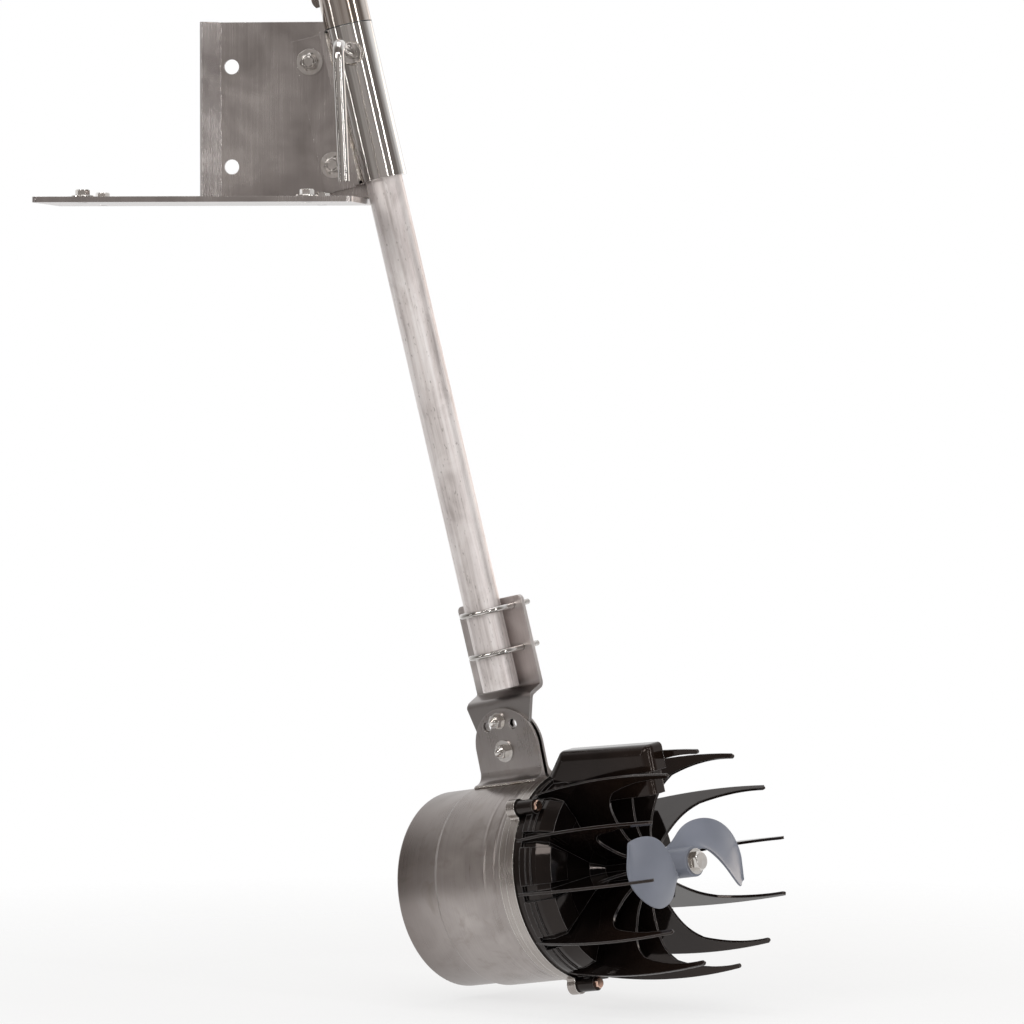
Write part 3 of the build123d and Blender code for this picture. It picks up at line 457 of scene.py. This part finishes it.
# Tubes and rods. The thin rods are without painted edge highlights.
polished("polished_steel", HOLD, dark=(0.44, 0.42, 0.40), light=(0.72, 0.70, 0.68), rough=0.08)
polished(
    "lever_steel", LEVER, dark=(0.40, 0.38, 0.36), light=(0.68, 0.66, 0.64), rough=0.10,
    edge=0.0,
)
polished(
    "u_bolt_steel", POLE, dark=(0.40, 0.38, 0.36), light=(0.66, 0.64, 0.62), rough=0.12,
    slow=(30, 30, 30), fine=(90, 90, 90), edge=0.0,
)
polished("collar_steel", POLE, dark=(0.36, 0.31, 0.27), light=(0.64, 0.59, 0.55), rough=0.09)
pole_metal()
glossy_black()
slate_paint()
dark_plastic()

# Looks of the solids; those not named are fasteners
LOOKS = {
    "plate_steel": ["base_plate", "upright_plate", "angle_bar"],
    "can_steel": ["motor_can"],
    "rim_steel": ["flange"],
    "ear_steel": ["near_ear", "far_ear"],
    "saddle_steel": ["saddle"],
    "polished_steel": ["sleeve", "lock_boss"],
    "lever_steel": ["lock_screw"],
    "u_bolt_steel": ["lower_u_bolt", "upper_u_bolt"],
    "collar_steel": ["collar"],
    "pole_metal": ["pipe"],
    "glossy_black": ["guard"],
    "slate_paint": ["propeller"],
    "dark_plastic": ["capacitor"],
    "screw_steel": ["guard_screw_1", "guard_screw_2", "guard_screw_3"],
}
# Plain materials that come with the frame
FRAME_LOOKS = {
    "seal_rubber": ["gasket", "cord_bushing", "shaft_seal", "thrust_washer"],
    "core_steel": ["stator", "rotor_core"],
    "machined_steel": ["rear_plate", "front_plate", "rear_bearing", "front_bearing", "shaft"],
}
look_of = {node: look for look, nodes in (LOOKS | FRAME_LOOKS).items() for node in nodes}
for node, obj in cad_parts.items():
    obj.data.materials[0] = bpy.data.materials[look_of.get(node, "fastener_steel")]


def turns(count):
    """Equal steps once round a circle."""
    return [2 * pi * step / count for step in range(count)]


def ring(mesh, matrix, points):
    """Vertices at points of a local frame."""
    return [mesh.verts.new(matrix @ (Vector(point) * MM)) for point in points]


def skin(mesh, rings, closed=False):
    """Joins rings of vertices with quads, and caps the ends of an open run."""
    after = rings[1:] + rings[:1] if closed else rings[1:]
    for first, second in zip(rings, after):
        for index in range(len(first)):
            following = (index + 1) % len(first)
            mesh.faces.new((first[index], first[following], second[following], second[index]))
    if not closed:
        mesh.faces.new(rings[0])
        mesh.faces.new(rings[-1])


def piece(name, mesh, body, look, smooth=True):
    """Makes an object of a bmesh that rides on a body."""
    bmesh.ops.recalc_face_normals(mesh, faces=mesh.faces)
    data = bpy.data.meshes.new(name)
    mesh.to_mesh(data)
    mesh.free()
    if smooth:
        for face in data.polygons:
            face.use_smooth = True
    data.materials.append(bpy.data.materials[look])
    obj = bpy.data.objects.new(name, data)
    bpy.context.collection.objects.link(obj)
    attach(obj, body)


def weld(name, matrix, points, radius, body, closed=False):
    """A weld bead along a line of points, with the ripples of its pools."""
    sides, step, pool_length = 8, 0.55, 2.2
    pool_low, pool_rise = 0.9, 0.14
    sway, sway_pace = 0.06, 0.37
    end_size = 0.6
    oblique = Vector((0.31, 0.52, 0.8))
    line = [Vector(point) for point in points]
    if closed:
        line.append(line[0])
    dense = []
    for first, second in zip(line, line[1:]):
        count = max(1, round((second - first).length / step))
        dense += [first.lerp(second, index / count) for index in range(count)]
    if not closed:
        dense.append(line[-1])
    last = len(dense) - 1
    mesh = bmesh.new()
    rings = []
    run = 0.0
    for index, point in enumerate(dense):
        before = dense[index - 1] if index or closed else point
        after = dense[(index + 1) % len(dense)] if index < last or closed else point
        forward = (after - before).normalized()
        run += (point - before).length
        side = forward.cross(oblique).normalized()
        up = forward.cross(side)
        pool = (run % pool_length) / pool_length
        end = end_size if not closed and index in (0, last) else 1.0
        size = radius * end * (pool_low + pool_rise * pool) * (1 + sway * sin(run * sway_pace))
        rings.append(ring(mesh, matrix, [
            point + size * (cos(turn) * side + sin(turn) * up) for turn in turns(sides)
        ]))
    skin(mesh, rings, closed)
    piece(name, mesh, body, "weld_steel")


def thread(name, matrix, start, direction, radius, length, pitch, body):
    """The threaded end of a bolt: a helical ridge that fades into a chamfered tip."""
    sides, rows_per_turn = 28, 6
    proud, depth, taper = 0.12, 0.09, 0.16
    fade_turns, fade_least = 1.2, 0.15
    axis = Vector(direction).normalized()
    side = axis.orthogonal().normalized()
    up = axis.cross(side)
    mesh = bmesh.new()
    rings = []
    rows = round(length / pitch * rows_per_turn)
    for row in range(rows + 1):
        at = length * row / rows
        fade = min(1.0, (length - at) / (fade_turns * pitch) + fade_least)
        points = []
        for turn in turns(sides):
            phase = (at / pitch - turn / (2 * pi)) % 1.0
            ridge = 1 - abs(2 * phase - 1)
            size = radius + proud - depth * radius * (1 - ridge) - taper * radius * (1 - fade)
            points.append(Vector(start) + at * axis + size * (cos(turn) * side + sin(turn) * up))
        rings.append(ring(mesh, matrix, points))
    skin(mesh, rings)
    piece(name, mesh, body, "fastener_steel")


def lag_screw(name, x, y):
    """A hex head on its washer, with the shank that goes through the base plate."""
    sides = 48
    shank, shank_end = 4.75, 0.3
    washer, washer_thick, seat = 12.7, 2.0, 0.02
    rim_in, rim_up = 0.6, 0.5
    flange, neck, neck_up = 8.9, 8.6, 0.7
    half_flats, head, chamfer, crown_share = 7.15, 6.4, 1.1, 0.97
    foot = BASE_THICK
    washer_top = foot + washer_thick
    profile = (
        (shank, shank_end),
        (shank, foot),
        (washer - rim_in, foot + seat),
        (washer, foot + rim_up),
        (washer, washer_top - rim_up),
        (washer - rim_in, washer_top),
        (flange, washer_top),
        (neck, washer_top + neck_up),
    )
    corner = half_flats / cos(radians(30))
    hexed = [min(corner, half_flats / cos(turn % (pi / 3) - pi / 6)) for turn in turns(sides)]
    crown = [min(radius, half_flats * crown_share) for radius in hexed]
    levels = [(height, [radius] * sides) for radius, height in profile]
    levels.append((washer_top + neck_up, hexed))
    levels.append((washer_top + head - chamfer, hexed))
    levels.append((washer_top + head, crown))
    mesh = bmesh.new()
    rings = [
        ring(mesh, WORLD, [
            (x + radius * cos(turn), y + radius * sin(turn), height)
            for radius, turn in zip(radii, turns(sides))
        ])
        for height, radii in levels
    ]
    skin(mesh, rings)
    piece(name, mesh, "bracket", "fastener_steel", smooth=False)


# Lag screws in the deck holes
DECK_HOLES = ((-DECK_X, -DECK_Y), (DECK_X, -DECK_Y), (-DECK_X, DECK_Y), (DECK_X, DECK_Y))
for number, (x, y) in enumerate(DECK_HOLES, 1):
    lag_screw(f"lag_screw_{number}", x, y)

# Weld of the upright's foot on the base plate
WELD_LIFT = 0.6
WELD_END = 2.0
foot_y = UPRIGHT_FACE - WELD_LIFT
foot_z = BASE_THICK + WELD_LIFT
foot_line = [
    (BASE_RIGHT - WELD_END, foot_y, foot_z),
    (UPRIGHT_BEND, foot_y, foot_z),
    (UPRIGHT_BEND - UPRIGHT_LIP_X, UPRIGHT_FACE - UPRIGHT_LIP_Y - WELD_LIFT, foot_z),
]
weld("upright_weld", WORLD, foot_line, radius=1.9, body="bracket")

# Welds along the sleeve's two sides
SLEEVE_WELD_INSET = 3
SLEEVE_WELDS = (("near", -26.2, -10.4), ("far", -25.9, 8.6))
sleeve_low = SLEEVE_TOP - SLEEVE_LENGTH
for name, across, depth in SLEEVE_WELDS:
    side_line = [
        (across, depth, sleeve_low + SLEEVE_WELD_INSET),
        (across, depth, SLEEVE_TOP - SLEEVE_WELD_INSET),
    ]
    weld(f"sleeve_{name}_weld", HOLD, side_line, radius=2.2, body="holder")

# Weld round the boss, on the sleeve's round face
BOSS_WELD_OUT = 0.5
BOSS_WELD_PROUD = 0.2
boss_round = BOSS_RADIUS + BOSS_WELD_OUT
boss_line = []
for turn in turns(40):
    across = boss_round * cos(turn)
    depth = -sqrt(SLEEVE_RADIUS ** 2 - across ** 2) - BOSS_WELD_PROUD
    boss_line.append((across, depth, -BOSS_DROP + boss_round * sin(turn)))
weld("boss_weld", HOLD, boss_line, radius=1.7, body="holder", closed=True)

# Welds of the ears' feet on the can
EAR_WELD_PROUD = 1.0
ear_round = CAN_WIDE + EAR_WELD_PROUD
foot_height = sqrt(ear_round ** 2 - EAR_FOOT ** 2) - PIVOT_UP
inner_height = sqrt(ear_round ** 2 - EAR_OUT ** 2) - PIVOT_UP
for name, side in (("near", -1), ("far", 1)):
    ear_line = [
        (EAR_BACK, side * EAR_OUT, inner_height),
        (EAR_BACK, side * EAR_FOOT, foot_height),
        (EAR_FRONT - WELD_END, side * EAR_FOOT, foot_height),
    ]
    weld(f"{name}_ear_weld", HEAD, ear_line, radius=1.7, body="head")

# Weld of the can on its flange
FLANGE_WELD_PROUD = 0.5
FLANGE_WELD_BACK = 0.9
flange_round = CAN_WIDE + FLANGE_WELD_PROUD
flange_line = [
    (flange_round * cos(turn), flange_round * sin(turn), CAN_LENGTH - FLANGE_WELD_BACK)
    for turn in turns(120)
]
weld("flange_weld", MOTOR, flange_line, radius=1.1, body="head", closed=True)

# Threaded ends of the bolts
THREAD_OVER = 0.2
for height, which in zip(U_HEIGHTS, ("lower", "upper")):
    for across, side in ((-U_RADIUS, "back"), (U_RADIUS, "front")):
        thread(
            f"{which}_u_{side}_thread", POLE, (across, U_NUT_END, height), (0, 1, 0),
            radius=3.175, length=U_TAIL_END - U_NUT_END + THREAD_OVER, pitch=1.27, body="pole",
        )
for height, which in ((0.0, "pivot"), (LOCK_RADIUS, "lock")):
    thread(
        f"head_{which}_thread", HEAD, (0, -HEAD_NUT_END, height), (0, -1, 0),
        radius=4.7625, length=3.8, pitch=1.4, body="head",
    )
thread(
    "collar_thread", POLE, (-SLEEVE_RADIUS - COLLAR_NUT_OUT, 0, COLLAR_MID), (-1, 0, 0),
    radius=6.35, length=3.2, pitch=1.9, body="pole",
)

# Studio, in metres: a floor that is pale at the object and fades into the white around it
WHITE = (1.0, 1.0, 1.0)
MIRRORED = ("Is Glossy Ray", "Is Transmission Ray")
SEEN = ("Is Camera Ray", *MIRRORED)
FLOOR_GAP = 0.012
FLOOR_CENTRE = (0.35, 0.1)
FLOOR_RADIUS = 1.6
FLOOR_FADE = (0.55, 1.5)
FLOOR_GLOW = 0.7
EVEN_LIGHT = (0.46, 0.455, 0.45)
MIDDLE = Vector((0.3, 0.0, -0.35))
# What mirrors see of the room, from in front of the part (0) to behind it (1)
ROOM_TONES = (
    (0.0, (0.38, 0.355, 0.34)),
    (0.08, (0.33, 0.31, 0.295)),
    (0.20, (0.20, 0.18, 0.168)),
    (0.46, (0.22, 0.20, 0.188)),
    (0.80, WHITE),
)


def studio_white():
    """Matte white that keeps the object's shadow and lets the white studio through at its rim."""
    s = Shader("studio_white")
    tone = s.noise(s.mapped(), scale=1.5, detail=2.0)
    pale = s.ramp(tone, (0.0, (0.93, 0.93, 0.93)), (1.0, (0.90, 0.90, 0.90)))
    s.put(Roughness=0.9, Base_Color=pale)
    glow = s.math("MULTIPLY", s.rays(*SEEN), FLOOR_GLOW)
    lit = s.blend(glow, s.bsdf.outputs[0], s.add("Emission").outputs[0])
    far = s.add("VectorMath", Vector=s.coords.outputs["Object"])
    far.operation = "DISTANCE"
    s.feed(far.inputs[1], (0, 0, 0))
    rim = s.span(far.outputs["Value"], *FLOOR_FADE)
    faded = s.blend(rim, lit, s.add("BsdfTransparent").outputs[0])
    s.feed(s.nodes["Material Output"].inputs["Surface"], faded)
    return s.mat


def studio_world():
    """Even soft light, and a white studio to the camera.

    Mirrors and glass see the white backdrop behind the part and the dimmer room in front.
    """
    world = bpy.data.worlds.new("studio_world")
    bpy.context.scene.world = world
    w = Nodes(world)
    depth = w.add("SeparateXYZ", Vector=w.coords.outputs["Generated"]).outputs["Y"]
    room = w.ramp(w.span(depth, -1.0, 1.0), *ROOM_TONES)
    light = w.mix(w.rays(*MIRRORED), EVEN_LIGHT, room)
    background = w.nodes["Background"]
    w.feed(background.inputs["Color"], w.mix(w.rays("Is Camera Ray"), light, WHITE))
    w.feed(background.inputs["Strength"], 1.0)


def softbox(name, place, size, power, tint):
    """A rectangular lamp that faces the middle of the part, unseen by the camera."""
    data = bpy.data.lights.new(name, "AREA")
    data.shape = "RECTANGLE"
    data.size, data.size_y = size
    data.energy = power
    data.color = tint
    lamp = bpy.data.objects.new(name, data)
    lamp.location = place
    lamp.rotation_euler = (MIDDLE - Vector(place)).to_track_quat("-Z", "Y").to_euler()
    lamp.visible_camera = False
    bpy.context.collection.objects.link(lamp)


floor_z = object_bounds()[0][2] - FLOOR_GAP
bpy.ops.mesh.primitive_circle_add(
    vertices=96, radius=FLOOR_RADIUS, fill_type="NGON", location=(*FLOOR_CENTRE, floor_z),
)
floor = bpy.context.object
floor.name = "studio_floor"
floor.data.materials.append(studio_white())
studio_world()

# Lamps: name, place, size, power and colour
for lamp in (
    ("key_light", (-1.6, -2.6, 1.5), (1.4, 1.4), 36.0, (1.0, 0.985, 0.96)),
    ("left_strip", (-2.5, -1.3, 0.0), (0.03, 2.2), 4.0, WHITE),
    ("right_strip", (2.55, -1.38, 0.2), (0.08, 2.2), 12.0, WHITE),
    ("front_strip", (1.9, -3.0, 0.1), (0.07, 2.0), 9.0, WHITE),
    ("high_strip", (0.7, -2.3, 2.0), (2.2, 0.06), 8.0, WHITE),
    ("top_light", (0.3, 0.2, 2.4), (2.0, 1.4), 16.0, WHITE),
    ("rim_light", (1.6, 1.9, -0.1), (1.0, 1.6), 6.0, (1.0, 0.82, 0.68)),
):
    softbox(*lamp)

# Camera: a long lens that looks up a little, six degrees round the part
SENSOR = 36.0
FOCAL_PIXELS = 5600.0
FRAME_PIXELS = 1024.0
CAMERA_PLACE = (1009.2, -6266.6, -163.65)
CAMERA_DEGREES = (88.33, 0.0, 6.0)
camera_data = bpy.data.cameras.new("camera")
camera_data.sensor_width = SENSOR
camera_data.lens = SENSOR * FOCAL_PIXELS / FRAME_PIXELS
camera_data.clip_end = 60.0
camera = bpy.data.objects.new("camera", camera_data)
camera.location = Vector(CAMERA_PLACE) * MM
camera.rotation_euler = [radians(angle) for angle in CAMERA_DEGREES]
bpy.context.collection.objects.link(camera)
bpy.context.scene.camera = camera
bpy.context.scene.view_settings.view_transform = "Standard"
